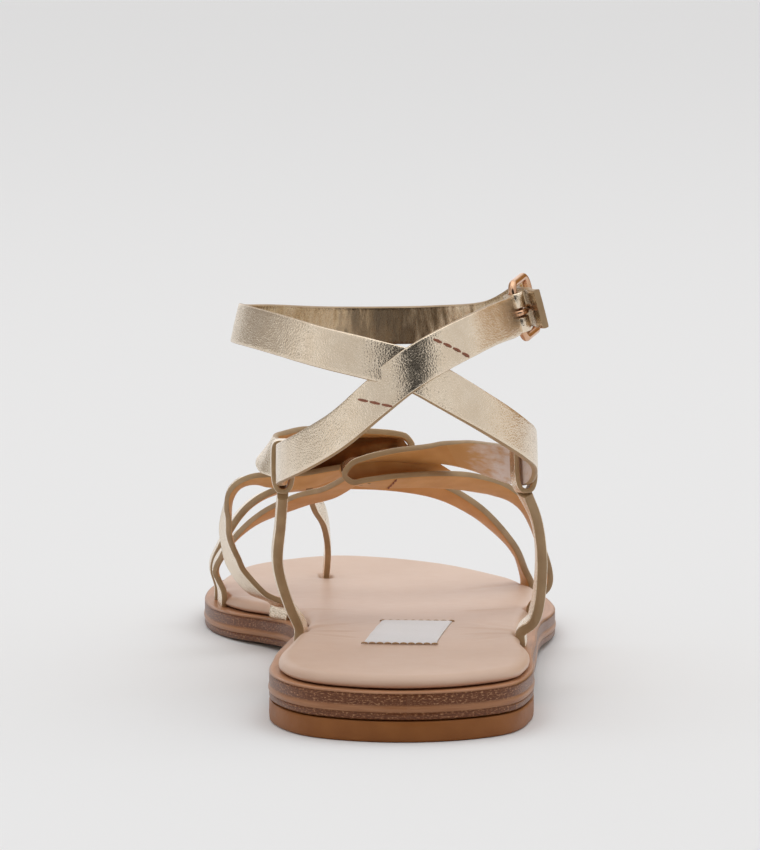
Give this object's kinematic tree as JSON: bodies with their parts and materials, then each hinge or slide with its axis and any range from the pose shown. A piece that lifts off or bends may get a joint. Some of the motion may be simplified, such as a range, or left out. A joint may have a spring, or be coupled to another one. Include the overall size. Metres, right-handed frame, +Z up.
{
  "type": "gladiator sandal",
  "caption": "Flat right-foot sandal: narrow metallic leather straps cross behind the ankle and knot over the instep, above a low stacked sole with a toe thong.",
  "frame": {"origin": "on the floor, under the middle of the heel, on the heel lift's flat lower face", "axes": "+X towards the lateral (outer) side of the foot, +Y towards the toe, +Z up"},
  "size_m": [0.0906, 0.2522, 0.1051],
  "materials": {
    "stacked_leather": "satin",
    "insole_leather": "satin",
    "heel_rubber": "matte",
    "label_satin": "satin",
    "foil_leather": "metallic foil",
    "tab_leather": "metallic foil",
    "buckle_metal": "polished"
  },
  "bodies": {
    "root": {"sole": "stacked_leather", "insole": "insole_leather", "heel_lift": "heel_rubber", "label": "label_satin", "upper": "foil_leather", "vamp_strap": "foil_leather", "medial_tab": "tab_leather", "lateral_tab": "tab_leather", "buckle_frame": "buckle_metal", "buckle_prong": "buckle_metal"}
  },
  "joints": []
}
